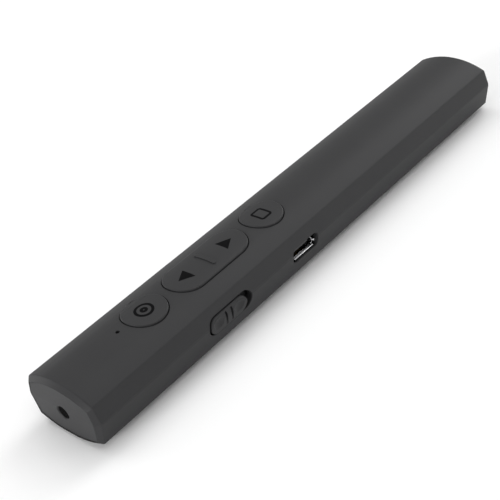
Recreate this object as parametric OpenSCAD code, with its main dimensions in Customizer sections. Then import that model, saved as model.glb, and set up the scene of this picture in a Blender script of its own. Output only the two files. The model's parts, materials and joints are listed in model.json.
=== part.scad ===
// Slim wireless presentation clicker: two covers that meet along the side ridges, flat plates in both ends,
// a laser in the nose, two round buttons and a page rocker on top, a power switch and a charging port in one
// side, and a radio receiver kept in the tail.
// Millimetres, +Z up, +X towards the tail. The origin is under the middle, on the surface it rests on.
// Names that end in _x are measured from the nose face, and names that end in _h from the resting surface.

/* [Body] */
// Length from the nose face to the tail face
body_l = 142; // [138:0.5:160]
// Width across the side ridges
body_w = 20.7; // [20.5:0.1:23]
// Height of the crown of the top
body_h = 13.5; // [13.3:0.1:15]
// Width of the top between its creases
crease_w = 18.75; // [18.2:0.05:19.6]
// Height of the creases along the top
crease_h = 11.2; // [11:0.05:11.6]
// Height of the side ridges, where the covers meet
ridge_h = 7.4; // [7.2:0.05:7.7]
// Width of the bottom between its creases
foot_w = 18.4; // [18:0.05:19.4]
// Height of the creases along the bottom
foot_h = 1.75; // [1.5:0.05:1.9]
// Crown of the bottom's arch that is cut away for the flat land it rests on
land_cut = 0.1; // [0.05:0.01:0.2]
// How far the two facets of a side would run past the softened ridge
ridge_soft = 0.08; // [0.04:0.01:0.14]
// Width of the narrow flat that softens each crease
crease_flat = 0.4; // [0.2:0.05:0.7]
// Bevel round both ends
end_bevel = 1; // [0.7:0.05:1.2]
// Wall of both covers
wall = 1.5; // [1.35:0.05:1.6]

/* [Joint between the covers] */
// Height of the bottom cover's lip above the ridge
lip_h = 0.9; // [0.6:0.05:1.2]
// Thickness of the lip
lip_t = 0.65; // [0.5:0.05:0.75]
// Clearance round the lip
lip_gap = 0.05; // [0.03:0.01:0.1]
// Distance from each end face at which the lip stops
lip_end = 4; // [3:0.5:6]

/* [End plates] */
// Thickness of the nose plate and the tail plate
plate_t = 1.2; // [1:0.05:1.4]
// Flat rim left between the end bevel and the plate's seam
rim = 0.1; // [0.05:0.01:0.2]
// Seam round each plate
seam = 0.1; // [0.06:0.01:0.15]
// Clearance between pieces that are put together once
fit = 0.1; // [0.08:0.01:0.15]
// Lean of the two halves of the nose face, above and below the ridges, in degrees
nose_lean = 1.5; // [0.5:0.25:3]

/* [Buttons] */
// Centre of the laser button
laser_button_x = 24.8; // [24.3:0.1:25.2]
// Centre of the screen button
screen_button_x = 61.9; // [61.7:0.1:63]
// Diameter of the round buttons
button_d = 10; // [9.4:0.1:10.2]
// Middle of the page rocker
rocker_x = 43.4; // [43.2:0.1:43.6]
// Length of the page rocker
rocker_l = 22.6; // [22:0.1:22.8]
// Width of the page rocker
rocker_w = 10; // [9.4:0.1:10.2]
// Gap between a button and its well
button_gap = 0.15; // [0.12:0.01:0.2]
// How far the buttons stand above the top
button_proud = 0.3; // [0.2:0.05:0.4]
// Depth that a round button is pressed
press = 0.3; // [0.2:0.02:0.32]
// Tilt of the rocker to either side, in degrees
tilt = 1.6; // [1:0.1:1.8]
// Wall of the collars round the wells
collar_t = 1; // [0.8:0.05:1.1]
// Depth of the collars' undersides below the crown
collar_drop = 2.5; // [2.3:0.05:2.6]
// How far a round button's flange reaches past its cap
flange_out = 0.75; // [0.5:0.05:0.8]
// Thickness of the flange
flange_t = 0.5; // [0.4:0.05:0.6]
// Thickness of the caps of the buttons at their walls
cap_wall = 1.2; // [1:0.05:1.5]
// Clearance between pieces that move on each other
run = 0.05; // [0.03:0.01:0.08]
// Height of the bar across the rocker above its face
bar_proud = 0.25; // [0.15:0.05:0.4]
// Length of the bar across the rocker
bar_l = 6; // [4:0.5:7]
// Width of the bar across the rocker
bar_w = 0.9; // [0.6:0.1:1.2]

/* [Rocker bearing] */
// Height of the rocker's pivot
pivot_h = 10.2; // [10.15:0.05:10.4]
// Diameter of the rocker's pivot pins
pivot_d = 1.2; // [1:0.05:1.3]
// Length of each pivot pin
pivot_l = 1.5; // [1.2:0.1:1.6]
// Width of the lugs that carry the pins
lug_w = 2.8; // [2.4:0.1:3.2]
// Distance of each foot of the rocker from its middle
foot_reach = 8; // [7:0.1:8.4]

/* [Push switches] */
// Side of a push switch's square body
switch_w = 5.2; // [4.8:0.1:5.4]
// Height of a push switch's body
switch_t = 1.1; // [0.9:0.05:1.15]
// Reach of a push switch's four legs past its body
leg_l = 0.7; // [0.5:0.1:0.9]
// Width of a leg
leg_w = 0.8; // [0.6:0.1:1]
// Thickness of a leg
leg_t = 0.2; // [0.15:0.05:0.3]
// How far a plunger stands out of its switch
plunger_out = 0.4; // [0.36:0.02:0.46]
// Diameter of a plunger
plunger_d = 2.2; // [1.8:0.1:2.4]
// Gap between a button's foot and its plunger
foot_gap = 0.03; // [0.02:0.01:0.05]

/* [Status light] */
// Centre of the pinhole
pinhole_x = 17.3; // [17:0.1:17.4]
// Diameter of the pinhole
pinhole_d = 0.9; // [0.8:0.05:1]
// Height of the light guide's head
guide_head = 0.7; // [0.5:0.05:0.8]
// Depth of the light guide's tip below the crown
guide_drop = 0.5; // [0.3:0.1:1]

/* [Laser] */
// Height of the beam
beam_h = 6.3; // [6:0.05:6.5]
// Diameter of the opening in the nose plate
beam_d = 3; // [2.6:0.1:3.4]
// Chamfer round that opening
beam_chamfer = 0.25; // [0.1:0.05:0.4]
// Outside diameter of the laser's barrel
barrel_d = 6; // [5.6:0.1:6.2]
// Length of the barrel
barrel_l = 11.5; // [10:0.1:12]
// Bore of the barrel behind its lens seat
barrel_bore = 4.6; // [4.2:0.1:4.8]
// Diameter of the lens
lens_d = 4; // [3.8:0.1:4.1]
// Thickness of the lens
lens_t = 1.4; // [1.2:0.1:1.8]
// Length of the diode's can
diode_l = 3; // [2.5:0.1:4]
// Diameter of each lead
lead_d = 0.5; // [0.4:0.05:0.6]

/* [Main board] */
// Front end of the board
board_x = 15; // [14.8:0.1:15.2]
// Length of the board
board_l = 57.5; // [56.5:0.1:58]
// Width of the board
board_w = 14.4; // [13.8:0.1:14.5]
// Thickness of the board
board_t = 0.8; // [0.7:0.05:0.9]
// Length of the narrow tongue at the board's front end
tongue_l = 5.4; // [5:0.1:5.6]
// Width of the tongue
tongue_w = 7.2; // [6:0.1:7.4]

/* [Charging port] */
// Centre of the port along the side
port_x = 63.3; // [62.9:0.1:63.8]
// Height of the port's centre
port_h = 6.55; // [6.45:0.05:6.65]
// Width of the cut-out in the side
port_w = 8.7; // [8.4:0.1:9]
// Height of the cut-out in the side
port_open = 3.4; // [3.1:0.1:3.6]
// Width of the port's metal shell
shell_w = 7.5; // [7.4:0.05:7.6]
// Height of the port's metal shell
shell_h = 2.5; // [2.4:0.05:2.6]
// Depth of the port's metal shell
shell_l = 5; // [4.8:0.1:5.5]
// Thickness of the metal shell
shell_t = 0.25; // [0.2:0.01:0.3]
// How far the shell's mouth lies inside the side ridge
shell_in = 1; // [0.3:0.1:1.1]
// How far the lips round the shell's mouth flare outward
flare = 0.3; // [0.1:0.05:0.35]
// Depth of the flared lips
flare_l = 0.5; // [0.3:0.05:0.6]

/* [Power switch] */
// Middle of the slot along the side
slot_x = 38.15; // [38:0.05:38.5]
// Height of the slot's centre
slot_h = 6.78; // [6.7:0.02:6.84]
// Length of the slot
slot_l = 13.3; // [13.2:0.1:14]
// Width of the slot
slot_w = 4.5; // [4.4:0.05:4.7]
// Length of the knob
knob_l = 11.1; // [10.5:0.1:11.2]
// Width of the knob
knob_w = 4.1; // [3.8:0.05:4.2]
// How far the knob stands proud of the side
knob_proud = 0.2; // [0.1:0.05:0.3]
// Travel of the knob
knob_travel = 1.5; // [1:0.1:1.6]
// Distance of the two grooves from each other
groove_pitch = 1.7; // [1.4:0.1:2]
// Width of a groove
groove_w = 0.55; // [0.4:0.05:0.7]
// Distance of the two dished pads from each other
pad_pitch = 6.4; // [6:0.1:6.8]
// Diameter of a dished pad
pad_d = 2.7; // [2.2:0.1:3]
// Depth of the grooves and pads
grip_depth = 0.3; // [0.2:0.05:0.4]
// Thickness of the knob's flange inside the wall
knob_flange_t = 0.55; // [0.5:0.05:0.6]
// Distance of the flange's outer face from the middle of the body
knob_flange_y = 8.05; // [8:0.01:8.1]
// Side of the switch's lever
lever_w = 1.5; // [1.2:0.1:1.6]
// Length of the slide switch's housing
slide_l = 8.6; // [8:0.1:9]
// Depth of the slide switch's housing
slide_d = 3.5; // [3.2:0.1:3.8]

/* [Battery] */
// Front end of the battery
battery_x = 80; // [79.5:0.5:81]
// Length of the battery
battery_l = 36; // [34:0.5:36.5]
// Width of the battery
battery_w = 13.6; // [12:0.1:13.8]
// Thickness of the battery
battery_t = 5.8; // [5.2:0.1:6.4]
// Length of the terrace at the battery's front, which carries its protection board
terrace_l = 1.8; // [1.2:0.1:1.9]
// Thickness of the terrace
terrace_t = 2.6; // [2:0.1:3]
// Height of the ribs' flat tops under the battery
battery_h = 2.6; // [2.55:0.05:2.9]
// Thickness of the foam pad on the battery
foam_t = 1.5; // [1:0.1:2]

/* [Receiver] */
// Width of the receiver's cover
head_w = 13.6; // [13.2:0.1:13.8]
// Thickness of the receiver's cover
head_t = 6; // [5.6:0.1:6.2]
// Length of the receiver's cover
head_l = 6; // [5.5:0.1:6.5]
// Height of the receiver's middle
head_h = 6.6; // [6.4:0.05:6.8]
// Width of the receiver's plug
plug_w = 12; // [11.9:0.05:12.1]
// Thickness of the receiver's plug
plug_t = 4.5; // [4.4:0.05:4.6]
// Length of the receiver's plug
plug_l = 12; // [11.5:0.1:12.2]
// Wall of the plug's metal shell
plug_wall = 0.3; // [0.25:0.01:0.35]
// Wall of the bay that holds the receiver
bay_wall = 0.8; // [0.7:0.05:0.9]

/* [Screws] */
// Diameter of the screws
screw_d = 1.6; // [1.4:0.1:1.8]
// Diameter of a screw's head
screw_head_d = 2.8; // [2.6:0.1:3]
// Thickness of a screw's head
screw_head_t = 1; // [0.8:0.1:1.2]
// Length of a case screw below its head
case_screw_l = 7; // [6.5:0.1:7.2]
// Length of a board screw below its head
board_screw_l = 2.5; // [2.2:0.1:2.7]
// Height of the seats under the case screws' heads
screw_seat_h = 3; // [2.8:0.1:3.3]
// Diameter of the posts round the case screws
post_d = 4.4; // [4.3:0.05:4.6]
// Place of the front pair of case screws
front_screw_x = 17.2; // [17:0.1:17.4]
// Distance of each front case screw from the middle
front_screw_y = 6.1; // [6:0.05:6.2]
// Place of the middle case screw
mid_screw_x = 76; // [75.4:0.1:76.6]
// Place of the tail case screw, from the tail face
tail_screw_from_tail = 22.4; // [22.2:0.1:22.8]
// Distance of the board screws from the middle
board_screw_y = 5.8; // [5.7:0.05:5.9]

/* [Hidden] */

$fn = 64;
past = 1; // cutting shapes run this far past what they cut
span = 2 * body_w; // reach of the slabs that cut the facets
nose = -body_l / 2;
tail = body_l / 2;
bay_l = head_l + plug_l + 2 * fit + bay_wall; // the receiver's bay with its end wall
bay_out = 2 * (fit + bay_wall); // how much wider the bay is outside than what it holds

shell_colour = "#38383a";
button_colour = "#303032";
metal_colour = "#c8c8ca";
gold_colour = "#d4af50";
black_colour = "#1a1a1c";

// A place along the body, from its distance behind the nose face
function at(x) = nose + x;
// The angle above level of the outward face of a facet that runs up from p to q
function lean(p, q) = atan2(p.x - q.x, q.y - p.y);
// The distance from the axis through the origin to a facet through p
function reach(p, angle) = p.x * cos(angle) + p.y * sin(angle);
// The facet that trims the corner between two faces that lean by a and b, leaving a flat of the given width
function softened(p, a, b, flat) = [(a + b) / 2, reach(p, (a + b) / 2) - flat / 2 * tan(abs(a - b) / 2)];
// The radius of an arch of a given width and rise
function arch_r(width, rise) = (width * width / 4 + rise * rise) / (2 * rise);
// The outline of a rectangle with round corners
function rounded(l, w, r, steps = 6) = [
    for (corner = [0:3]) for (i = [0:steps])
        let (
            a = 90 * corner + 90 * i / steps,
            sx = corner == 0 || corner == 3 ? 1 : -1,
            sy = corner < 2 ? 1 : -1
        ) [sx * (l / 2 - r) + r * cos(a), sy * (w / 2 - r) + r * sin(a)]
];
// The outline of a slot with round ends
function pill(l, w, steps = 20) = [
    for (end = [0, 1]) for (i = [0:steps])
        let (a = 180 * end - 90 + 180 * i / steps)
        [(end == 0 ? 1 : -1) * (l - w) / 2 + w / 2 * cos(a), w / 2 * sin(a)]
];

// The cross-section: arches above and below, and flat facets between them
top_r = arch_r(crease_w, body_h - crease_h);
top_axis_h = body_h - top_r;
bottom_r = arch_r(foot_w, foot_h + land_cut);
bottom_axis_h = bottom_r - land_cut;
ridge_corner = [body_w / 2 + ridge_soft, ridge_h];
crease_corner = [crease_w / 2, crease_h];
foot_corner = [foot_w / 2, foot_h];
upper_lean = lean(ridge_corner, crease_corner);
lower_lean = lean(foot_corner, ridge_corner);
crease_lean = atan2(crease_h - top_axis_h, crease_w / 2);
foot_lean = atan2(foot_h - bottom_axis_h, foot_w / 2);
// Each facet of one side: its lean, and its distance from the axis
FACETS = [
    [0, body_w / 2],
    [upper_lean, reach(ridge_corner, upper_lean)],
    [lower_lean, reach(ridge_corner, lower_lean)],
    softened(crease_corner, upper_lean, crease_lean, crease_flat),
    softened(foot_corner, lower_lean, foot_lean, crease_flat)
];

// Levels of the inside
crown_in = body_h - wall;
pocket_in = end_bevel + rim;
board_h = port_h + shell_h / 2; // the port hangs under the board
board_top = board_h + board_t;
switch_top = board_top + switch_t;
plunger_top = switch_top + plunger_out;
plunger_floor = board_top + 0.3; // floor of the hole in a switch
plunger_low = plunger_floor + max(press, foot_reach * sin(tilt)) + fit; // leaves room for its travel
collar_h = body_h - collar_drop;
flange_top = collar_h - run;
button_foot_h = plunger_top + foot_gap;
well_d = button_d + 2 * button_gap;
foot_l = 0.25; // how far the rocker's feet stand out below its rim
rocker_low = button_foot_h + foot_l;
post_top = ridge_h - 0.4; // the posts meet the bosses just below the ridge
screw_bore_d = screw_d + 0.04; // the thread's crests just touch
screw_hole_d = screw_d + 0.3;
led_t = 0.5;
light_seat = board_top + led_t + fit + guide_head;
barrel_x = plate_t + 2 * fit;
lens_x = barrel_x + 0.6; // the lens lies behind a thin front wall of the barrel
spigot_l = 1.2; // how far the nose plate's spigot reaches round the barrel
knob_rest = at(slot_x) - knob_travel / 2;
cradle_t = 1.2; // the ribs that cradle the barrel
web_t = 1.4; // the web that joins the collars
rib_t = 1; // the ribs under and over the battery
gusset_foot = post_d / 2 + 3; // how far the gussets reach at the floor
gusset_head = post_d / 2 - 0.2; // and at their tops, inside the post's wall
gusset_top = post_top - 1; // height of their tops
head_corner = 1; // the round edges of the receiver's cover

// Places of what repeats
case_screw_places = [
    [at(front_screw_x), front_screw_y], [at(front_screw_x), -front_screw_y],
    [at(mid_screw_x), 0], [tail - tail_screw_from_tail, 0]
];
board_screw_places = [
    [at((laser_button_x + rocker_x - (rocker_l - button_d) / 2) / 2), board_screw_y],
    [at((screen_button_x + rocker_x + (rocker_l - button_d) / 2) / 2), -board_screw_y]
];
round_button_places = [at(laser_button_x), at(screen_button_x)];
rocker_switch_places = [at(rocker_x) - foot_reach, at(rocker_x) + foot_reach];
prop_d = 2.4; // the props under the board
board_prop_places = [
    [at(laser_button_x), -5], [at(rocker_x + foot_reach), 5.6], [at(board_x + board_l - 2), -2]
];
battery_rib_places = [for (i = [0:3]) at(battery_x + battery_l * (i + 0.5) / 4)];
cradle_places = [at(barrel_x + spigot_l + cradle_t), at(barrel_x + barrel_l - 1.5 * cradle_t)];

// The outline of a straight piece from x0 to x1 with both ends bevelled on its far side
function end_profile(x0, x1, low, high, bevel) = bevel > 0
    ? [[x0, low], [x1, low], [x1, high - bevel], [x1 - bevel, high], [x0 + bevel, high], [x0, high - bevel]]
    : [[x0, low], [x1, low], [x1, high], [x0, high]];

// All that lies inside one flat facet
module inside_facet(angle, far, x0, x1, bevel)
    rotate([angle, 0, 0]) translate([0, 0, -span]) linear_extrude(2 * span)
        polygon(end_profile(x0, x1, -span, far, bevel));

// All that lies inside one arch, round an axis along the body
module inside_arch(r, axis_h, x0, x1, bevel)
    translate([0, 0, axis_h]) rotate([0, 90, 0]) rotate_extrude()
        polygon([for (p = end_profile(x0, x1, 0, r, bevel)) [p.y, p.x]]);

// The outer form drawn in by inset, from x0 to x1, with its end edges bevelled
module form(inset = 0, x0 = nose, x1 = tail, bevel = 0) intersection() {
    inside_arch(top_r - inset, top_axis_h, x0, x1, bevel);
    inside_arch(bottom_r - inset, bottom_axis_h, x0, x1, bevel);
    inside_facet(-90, -inset, x0, x1, bevel);
    intersection_for (f = FACETS) inside_facet(f[0], f[1] - inset, x0, x1, bevel);
    mirror([0, 1, 0]) intersection_for (f = FACETS) inside_facet(f[0], f[1] - inset, x0, x1, bevel);
}

// A box over the whole length between two heights
module layer(low, high) translate([-body_l, -span, low]) cube([2 * body_l, 2 * span, high - low]);

// A box given by its middle in X and Y and its two heights
module block(middle, size, low, high)
    translate([middle.x - size.x / 2, middle.y - size.y / 2, low]) cube([size.x, size.y, high - low]);

// A cylinder given by its place, diameter and two heights
module rod(place, d, low, high) translate([place.x, place.y, low]) cylinder(d = d, h = high - low);

// An outline in X and Z, drawn from y0 to y1
module across(middle, y0, y1) translate([middle.x, y1, middle.y]) rotate([90, 0, 0]) linear_extrude(y1 - y0)
    children();

// An outline in Y and Z, drawn from x0 to x1
module along(middle, x0, x1) translate([x0, middle.x, middle.y]) rotate([90, 0, 90]) linear_extrude(x1 - x0)
    children();

// A round bar along X
module bar_x(middle, d, x0, x1)
    translate([x0, middle.x, middle.y]) rotate([0, 90, 0]) cylinder(d = d, h = x1 - x0);

// The openings in the side, through both covers
module side_openings() {
    across([at(port_x), port_h], -body_w, -body_w / 2 + 2 * wall) polygon(rounded(port_w, port_open, 1.1));
    across([at(slot_x), slot_h], -body_w, -body_w / 2 + 2 * wall) polygon(pill(slot_l, slot_w));
}

// The pockets for the end plates
module end_pockets() {
    form(pocket_in, nose - past, nose + plate_t);
    form(pocket_in, tail - plate_t, tail + past);
}

// The hollow of both covers
module hollow() form(wall, nose - past, tail + past);

// Collars round the wells, the pinhole and the rocker's ears, down from the crown
module collars() {
    for (x = round_button_places) rod([x, 0], well_d + 2 * collar_t, collar_h, body_h);
    translate([at(rocker_x), 0, collar_h]) linear_extrude(collar_drop)
        polygon(pill(rocker_l + 2 * (button_gap + collar_t), rocker_w + 2 * (button_gap + collar_t)));
    // A web joins the three collars along the middle
    block([(round_button_places[0] + round_button_places[1]) / 2, 0],
        [round_button_places[1] - round_button_places[0], web_t], collar_h, body_h);
    rod([at(pinhole_x), 0], pinhole_d + 1.6, light_seat, body_h);
}

// The ears that hold the rocker's pivot pins
ear_in = rocker_w / 2 + button_gap + 0.1; // just outside the well
ear_low = pivot_h - pivot_d / 2 - 0.8;
module rocker_ears() for (side = [-1, 1])
    block([at(rocker_x), side * (ear_in + pivot_l / 2)], [lug_w + 0.4, pivot_l], ear_low, body_h);

module top_cover() color(shell_colour) difference() {
    union() {
        difference() {
            intersection() { form(bevel = end_bevel); layer(ridge_h, body_h + past); }
            hollow();
            intersection() {
                form(wall - lip_t - lip_gap, nose + lip_end - lip_gap, tail - lip_end + lip_gap);
                layer(ridge_h - past, ridge_h + lip_h + lip_gap);
            }
        }
        intersection() {
            form(wall / 2, nose + lip_end, tail - lip_end);
            union() {
                collars();
                rocker_ears();
                for (p = case_screw_places) rod(p, post_d, post_top, body_h);
                for (p = board_screw_places) rod(p, screw_d + 2, board_top, body_h);
                for (x = battery_rib_places)
                    block([x, 0], [rib_t, battery_w - 2.6], battery_h + battery_t + foam_t, body_h);
            }
        }
    }
    for (x = round_button_places) rod([x, 0], well_d, ridge_h, body_h + past);
    translate([at(rocker_x), 0, ridge_h]) linear_extrude(body_h)
        polygon(pill(rocker_l + 2 * button_gap, rocker_w + 2 * button_gap));
    rod([at(pinhole_x), 0], pinhole_d, ridge_h, body_h + past);
    across([at(rocker_x), pivot_h], -ear_in - pivot_l - fit, ear_in + pivot_l + fit)
        circle(d = pivot_d + 2 * run);
    for (p = case_screw_places) rod(p, screw_bore_d, post_top - past, screw_seat_h + case_screw_l + 0.3);
    for (p = board_screw_places) rod(p, screw_bore_d, board_top - past, board_h + board_screw_l + 0.2);
    side_openings();
    end_pockets();
}

module bottom_cover() color(shell_colour) difference() {
    union() {
        intersection() { form(bevel = end_bevel); layer(-past, ridge_h); }
        intersection() {
            form(wall - lip_t, nose + lip_end, tail - lip_end);
            layer(ridge_h - past, ridge_h + lip_h);
        }
    }
    difference() {
        hollow();
        // What stands up inside: posts, props, battery ribs and the laser's cradles
        union() {
            for (p = case_screw_places) rod(p, post_d, 0, post_top);
            // Gussets brace the two posts that stand alone
            for (p = [case_screw_places[2], case_screw_places[3]])
                along([0, 0], p.x - rib_t / 2, p.x + rib_t / 2) polygon([
                    [-gusset_foot, 0], [gusset_foot, 0], [gusset_head, gusset_top], [-gusset_head, gusset_top]
                ]);
            for (p = board_prop_places) rod(p, prop_d, 0, board_h);
            for (x = battery_rib_places) block([x, 0], [rib_t, body_w], 0, battery_h);
            for (x = cradle_places) block([x, 0], [cradle_t, barrel_d + 2 * cradle_t], 0, beam_h);
        }
    }
    for (p = case_screw_places) {
        rod(p, screw_head_d + 0.3, -past, screw_seat_h);
        rod(p, screw_hole_d, screw_seat_h - past, post_top + past);
    }
    bar_x([0, beam_h], barrel_d, at(barrel_x) - past, at(barrel_x + barrel_l) + past);
    side_openings();
    end_pockets();
}

// All that lies behind a nose face that leans about the line between the ridges
module behind_face(angle)
    translate([nose, -span, ridge_h]) rotate([0, angle, 0]) translate([0, 0, -span])
        cube([span, 2 * span, 2 * span]);

module nose_plate() color(shell_colour) difference() {
    union() {
        intersection() {
            form(pocket_in + seam, nose, nose + plate_t);
            behind_face(nose_lean);
            behind_face(-nose_lean);
        }
        // Spigot that centres the barrel
        bar_x([0, beam_h], barrel_d + 2 * bay_wall, nose + plate_t / 2, at(barrel_x) + spigot_l);
    }
    bar_x([0, beam_h], beam_d, nose - past, at(barrel_x) + past);
    translate([nose - past, 0, beam_h]) rotate([0, 90, 0])
        cylinder(d1 = beam_d + 2 * (beam_chamfer + past), d2 = beam_d, h = beam_chamfer + past);
    bar_x([0, beam_h], barrel_d + 2 * run, at(barrel_x), at(barrel_x) + spigot_l + past);
}

// The bay's inside: wide for the receiver's cover, then narrow for its plug
module bay_inside(x_past) {
    along([0, head_h], tail - head_l - fit, tail + x_past)
        polygon(rounded(head_w + 2 * fit, head_t + 2 * fit, head_corner + fit));
    along([0, head_h], tail - head_l - plug_l - 2 * fit, tail)
        polygon(rounded(plug_w + 2 * fit, plug_t + 2 * fit, 0.3));
}

module tail_bay() color(shell_colour) difference() {
    union() {
        form(pocket_in + seam, tail - plate_t, tail);
        intersection() {
            form(wall + fit, nose, tail - plate_t / 2);
            union() {
                along([0, head_h], tail - head_l - fit - bay_wall, tail)
                    polygon(rounded(head_w + bay_out, head_t + bay_out, head_corner + 0.5));
                along([0, head_h], tail - bay_l, tail)
                    polygon(rounded(plug_w + bay_out, plug_t + bay_out, 0.8));
            }
        }
    }
    bay_inside(past);
    // Scallop for a fingernail
    translate([tail, 0, head_h + head_t / 2]) rotate([0, 90, 0]) cylinder(d = 5, h = 2 * 0.7, center = true);
}

// The upper face that all the buttons share
module button_face() form(-button_proud, nose, tail);

module round_button(x) color(button_colour) difference() {
    union() {
        intersection() { rod([x, 0], button_d, flange_top - flange_t, body_h + past); button_face(); }
        rod([x, 0], button_d + 2 * flange_out, flange_top - flange_t, flange_top);
        rod([x, 0], plunger_d, button_foot_h, flange_top);
    }
    // Hollow under the cap, round the stem that meets the plunger
    difference() {
        rod([x, 0], button_d - 2 * cap_wall, flange_top - flange_t - past, crown_in);
        rod([x, 0], plunger_d, 0, body_h);
    }
}
module laser_button() round_button(at(laser_button_x));
module screen_button() round_button(at(screen_button_x));

module page_rocker() color(button_colour) {
    difference() {
        union() {
            intersection() {
                translate([at(rocker_x), 0, rocker_low]) linear_extrude(body_h)
                    polygon(pill(rocker_l, rocker_w));
                button_face();
            }
            // Bar that tells the two ends apart by touch
            intersection() {
                translate([at(rocker_x), 0, crown_in]) linear_extrude(body_h)
                    polygon(rounded(bar_w, bar_l, bar_w / 2.2));
                form(-button_proud - bar_proud, nose, tail);
            }
        }
        translate([at(rocker_x), 0, 0]) linear_extrude(crown_in)
            polygon(pill(rocker_l - 2 * cap_wall, rocker_w - 2 * cap_wall));
    }
    // Lugs and pivot pins at the middle, and a foot over each plunger
    for (side = [-1, 1]) {
        block([at(rocker_x), side * (rocker_w - cap_wall) / 2], [lug_w, cap_wall],
            pivot_h - pivot_d / 2 - 0.5, crown_in);
        across([at(rocker_x), pivot_h], side * rocker_w / 2 - (side < 0 ? pivot_l : cap_wall / 2),
            side * rocker_w / 2 + (side > 0 ? pivot_l : cap_wall / 2)) circle(d = pivot_d);
    }
    for (x = rocker_switch_places) {
        rod([x, 0], 2.6, rocker_low, crown_in + 0.2);
        rod([x, 0], 1.4, button_foot_h, rocker_low + 0.2);
    }
}

module plunger(x) color(black_colour) rod([x, 0], plunger_d, plunger_low, plunger_top);
module laser_switch_plunger() plunger(at(laser_button_x));
module screen_switch_plunger() plunger(at(screen_button_x));
module forward_switch_plunger() plunger(rocker_switch_places[0]);
module back_switch_plunger() plunger(rocker_switch_places[1]);

module push_switch_bodies() color(metal_colour) for (x = concat(round_button_places, rocker_switch_places))
    difference() {
        union() {
            translate([x, 0, board_top]) linear_extrude(switch_t)
                polygon(rounded(switch_w, switch_w, 0.5, 2));
            for (side = [-1, 1]) block([x + side * switch_w / 3, 0], [leg_w, switch_w + 2 * leg_l],
                board_top, board_top + leg_t);
        }
        rod([x, 0], plunger_d + 2 * run, plunger_floor, switch_top + past);
    }

knob_lap = 0.35; // how far the flange laps behind the slot's long edges
knob_back = knob_flange_y - knob_flange_t;
lever_tip = knob_back + 1.5; // depth of the lever in the knob
knob_flange_l = slot_l + 2 * knob_travel;
module power_knob() color(button_colour) difference() {
    union() {
        intersection() {
            across([knob_rest, slot_h], -body_w, -knob_back) polygon(pill(knob_l, knob_w));
            form(-knob_proud, nose, tail);
        }
        across([knob_rest, slot_h], -knob_flange_y, -knob_back)
            polygon(rounded(knob_flange_l, slot_w + 2 * knob_lap, 0.5));
    }
    for (side = [-1, 1]) {
        across([knob_rest + side * groove_pitch / 2, slot_h], -body_w, -body_w / 2 + grip_depth)
            polygon(pill(knob_w * 0.8, groove_w) * [[0, 1], [1, 0]]);
        // A pad's dish is part of a ball
        ball_r = arch_r(pad_d, grip_depth);
        translate([knob_rest + side * pad_pitch / 2, -body_w / 2 - ball_r + grip_depth, slot_h])
            sphere(r = ball_r);
    }
    across([knob_rest, slot_h], -lever_tip - run, -knob_back + past)
        square(lever_w + 2 * run, center = true);
}

slide_y = -board_w / 2 + fit; // the housing's outer face, just inside the board's edge
slide_wall = 0.6; // the housing's walls before and behind the lever's foot
slide_floor = 1.2; // the housing below the lever
lever_foot = 0.6; // how far the lever's foot reaches to either side of it
module slide_switch_lever() color(black_colour) {
    across([knob_rest, slot_h], -lever_tip, slide_y + slide_d / 2) square(lever_w, center = true);
    across([knob_rest, slot_h], slide_y + slide_wall, slide_y + slide_d - slide_wall)
        square([lever_w + 2 * lever_foot, lever_w], center = true);
}

module slide_switch_housing() color(metal_colour) difference() {
    block([at(slot_x), slide_y + slide_d / 2], [slide_l, slide_d],
        slot_h - lever_w / 2 - slide_floor, board_h);
    across([at(slot_x), slot_h], slide_y - past, slide_y + slide_d / 2)
        square([lever_w + knob_travel + 2 * fit, lever_w + 2 * run], center = true);
    across([at(slot_x), slot_h], slide_y + slide_wall - run, slide_y + slide_d - slide_wall + run)
        square([lever_w + 2 * lever_foot + knob_travel + 2 * fit, lever_w + 2 * run], center = true);
}

// The port's section: wide below, with its upper corners drawn in
function port_section(trim) = [
    [-shell_w / 2 + trim, -shell_h / 2 + trim], [shell_w / 2 - trim, -shell_h / 2 + trim],
    [shell_w / 2 - trim, 0], [shell_w / 2 - 1 - trim / 2, shell_h / 2 - trim],
    [-shell_w / 2 + 1 + trim / 2, shell_h / 2 - trim], [-shell_w / 2 + trim, 0]
];
port_mouth = -body_w / 2 + shell_in;
flare_lap = 0.3; // how far a lip runs on inside the wall that it grows from
tab_l = 1.4; // the tabs that are soldered to the board
// A lip's outline: out from the mouth, and back to a wall that lies far from the port's middle
function lip_outline(far) = [
    [flare_l + flare_lap, far], [flare_l + flare_lap, far - shell_t], [flare_l, far - shell_t],
    [0, far + flare - shell_t], [0, far + flare], [flare_l, far]
];
module usb_port_shell() color(metal_colour) difference() {
    union() {
        across([at(port_x), port_h], port_mouth + flare_l, port_mouth + shell_l) polygon(port_section(0));
        // The flared lips: a wide one below, a narrow one above and one at each end
        for (side = [-1, 1]) {
            lip_w = side < 0 ? shell_w - 4 * shell_t : shell_w - 2 - 2 * shell_t;
            along([port_mouth, port_h], at(port_x) - lip_w / 2, at(port_x) + lip_w / 2)
                polygon([for (p = lip_outline(shell_h / 2)) [p.x, side * p.y]]);
            translate([at(port_x), port_mouth, port_h - shell_h / 2 + 2 * shell_t])
                linear_extrude(shell_h / 2 - 3 * shell_t)
                    polygon([for (p = lip_outline(shell_w / 2)) [side * p.y, p.x]]);
            block([at(port_x) + side * (shell_w - shell_t) / 2, port_mouth + shell_l - tab_l],
                [shell_t, tab_l], port_h - shell_t, board_h);
        }
    }
    across([at(port_x), port_h], port_mouth - past, port_mouth + shell_l - shell_t)
        polygon(port_section(shell_t));
}
tongue_t = 0.6;
module usb_port_tongue() color(black_colour) {
    across([at(port_x), port_h + 0.25], port_mouth + 0.7, port_mouth + shell_l - shell_t)
        square([4.8, tongue_t], center = true);
    across([at(port_x), port_h], port_mouth + shell_l - shell_t - 1, port_mouth + shell_l - shell_t)
        polygon(port_section(shell_t));
}
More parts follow.
